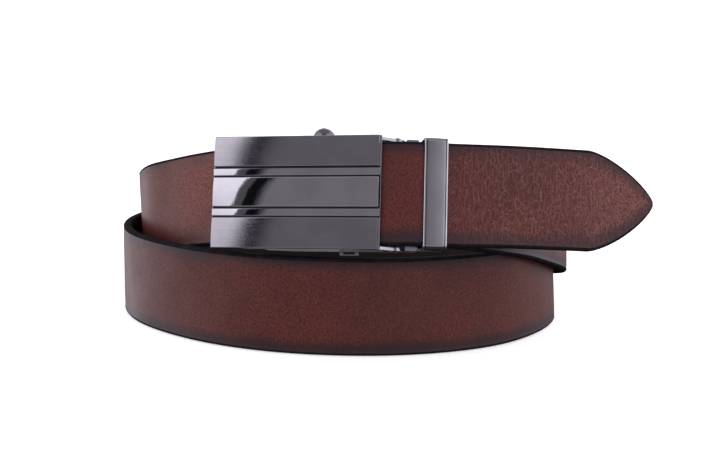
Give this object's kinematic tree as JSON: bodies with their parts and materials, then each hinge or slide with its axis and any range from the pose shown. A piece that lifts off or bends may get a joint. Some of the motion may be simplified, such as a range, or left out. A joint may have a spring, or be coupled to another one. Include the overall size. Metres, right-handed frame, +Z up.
{
  "type": "leather ratchet belt with automatic buckle, fastened and wound into a coil",
  "caption": "Fastened leather belt standing on edge in a coil, with a ribbed metal automatic buckle, a sprung release lever, a strap clamp and a flat metal keeper.",
  "frame": {"origin": "middle of the footprint, on the floor", "axes": "+Z up across the strap's width, -Y towards the buckle's side, +X to the right as one faces the buckle"},
  "size_m": [0.1998, 0.1838, 0.0784],
  "materials": {
    "strap_leather": "burnished, fine grain",
    "buckle_face": "dark gunmetal, brushed along its length",
    "buckle_satin": "dark gunmetal, satin",
    "buckle_polished": "dark gunmetal, polished",
    "keeper_metal": "dark gunmetal, satin front with polished edges"
  },
  "bodies": {
    "belt": {"strap": "strap_leather", "face_plate": "buckle_face", "buckle_frame": "buckle_satin", "hinge_pin": "buckle_polished", "stop_pin": "buckle_polished", "strap_clamp": "buckle_satin", "clamp_flap": "buckle_satin", "keeper": "keeper_metal"},
    "lever": {"release_lever": "buckle_polished"}
  },
  "joints": [
    {"name": "lever_release", "type": "hinge", "parent": "belt", "child": "lever", "pos_m": [-0.01383, -0.07359, 0.05522], "axis": [-0.0009, -0.269, -0.9631], "range_deg": [0, 20], "stiffness_Nm_per_rad": 0.02, "springref_deg": -8.59}
  ]
}
